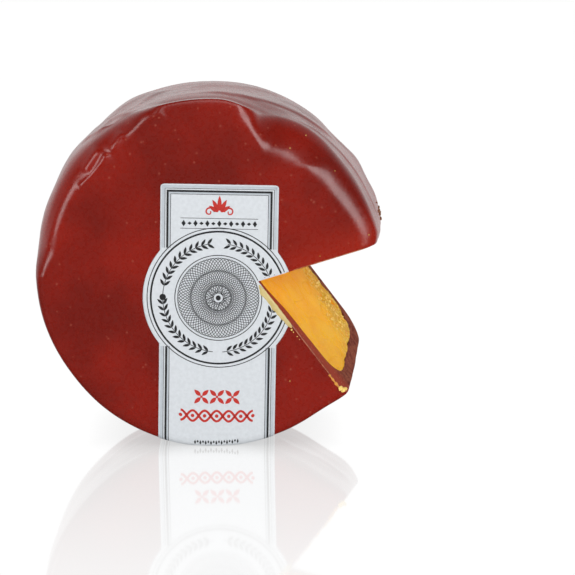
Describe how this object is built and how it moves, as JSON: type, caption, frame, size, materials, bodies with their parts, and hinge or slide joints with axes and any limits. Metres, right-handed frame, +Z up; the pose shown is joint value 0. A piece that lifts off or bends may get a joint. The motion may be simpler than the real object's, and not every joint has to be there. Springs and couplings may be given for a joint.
{
  "type": "waxed cheese wheel with a wedge cut out",
  "caption": "Small thick cheese wheel in dark red wax, standing on its edge, with a wedge cut out of it and a paper label that turns under the rim.",
  "frame": {"origin": "centre of the bounding box on the ground, under the flat spot of the rim that the wheel stands on", "axes": "+Z up, the wheel's axis along Y, its front face towards -Y, the cut-out wedge towards +X"},
  "size_m": [0.0804, 0.0392, 0.0816],
  "materials": {
    "cheese": "moist broken cheese, orange yellow",
    "wax": "deep red wax with a soft gloss",
    "label": "silver white printed paper"
  },
  "bodies": {
    "root": {"cheese": "cheese", "wax": "wax", "label": "label"}
  },
  "joints": []
}
